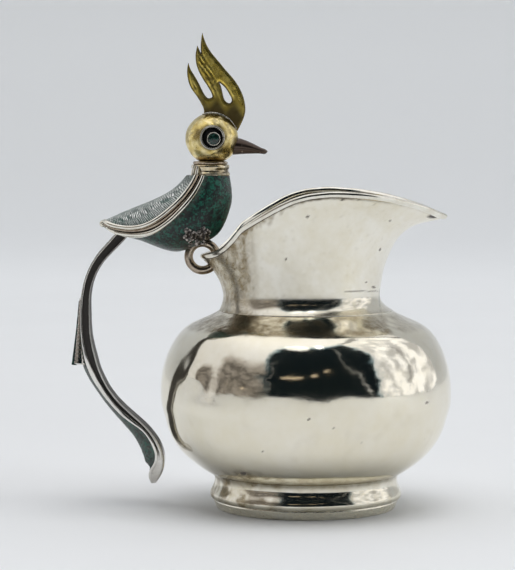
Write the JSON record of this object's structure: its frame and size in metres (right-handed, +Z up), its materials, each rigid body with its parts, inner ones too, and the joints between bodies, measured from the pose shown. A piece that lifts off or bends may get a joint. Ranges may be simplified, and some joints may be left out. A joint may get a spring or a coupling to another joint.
{
  "type": "silver cream jug with bird handle",
  "caption": "Squat round cream jug on a low foot with a long pouring lip, and a crested bird with an inlaid body whose long curved tail is the handle.",
  "frame": {"origin": "centre of the circle the foot stands on, on the underside", "axes": "+Z up, +X towards the pouring lip, the bird handle at -X in the XZ mid-plane, +Y to the left when looking along +X"},
  "size_m": [0.1081, 0.083, 0.1358],
  "materials": {
    "silver": "hand-raised, polished, softly wavy, faint warm tarnish",
    "oxidised_silver": "darkened silver, satin, worn bright on high spots",
    "green_stone": "crushed deep green stone in black matrix, ground smooth",
    "feather_inlay": "grey green inlay with fine bright feather cuts",
    "brass": "hammered, polished, patinated brown in hollows",
    "eye_stone": "small dark green domed stone"
  },
  "bodies": {
    "jug": {"bowl": "silver", "neck_and_lip": "silver", "rim_wire": "silver", "foot_collar": "silver", "foot_base_ring": "silver"},
    "bird_handle": {"perch_ring": "silver", "tail_strap": "silver", "tail_barb": "silver", "border_inner_left": "silver", "border_inner_right": "silver", "border_outer_left": "silver", "border_outer_right": "silver", "collar_bead": "silver", "crest_saddle": "silver", "eye_bezel_left": "silver", "eye_bezel_right": "silver", "eye_ring_left": "silver", "eye_ring_right": "silver", "perch_claw_left": "oxidised_silver", "perch_claw_right": "oxidised_silver", "body_shell": "oxidised_silver", "head_post": "oxidised_silver", "beak": "oxidised_silver", "body_inlay": "green_stone", "tail_inlay_upper": "green_stone", "tail_inlay_lower": "green_stone", "barb_inlay": "green_stone", "back_inlay": "feather_inlay", "neck_collar": "brass", "head_half_left": "brass", "head_half_right": "brass", "crest": "brass", "eye_stone_left": "eye_stone", "eye_stone_right": "eye_stone"}
  },
  "joints": [
    {"name": "handle_swing", "type": "hinge", "parent": "jug", "child": "bird_handle", "pos_m": [-0.0296, 0, 0.072], "axis": [0, 1, 0], "range_deg": [-3.5, 7]}
  ]
}
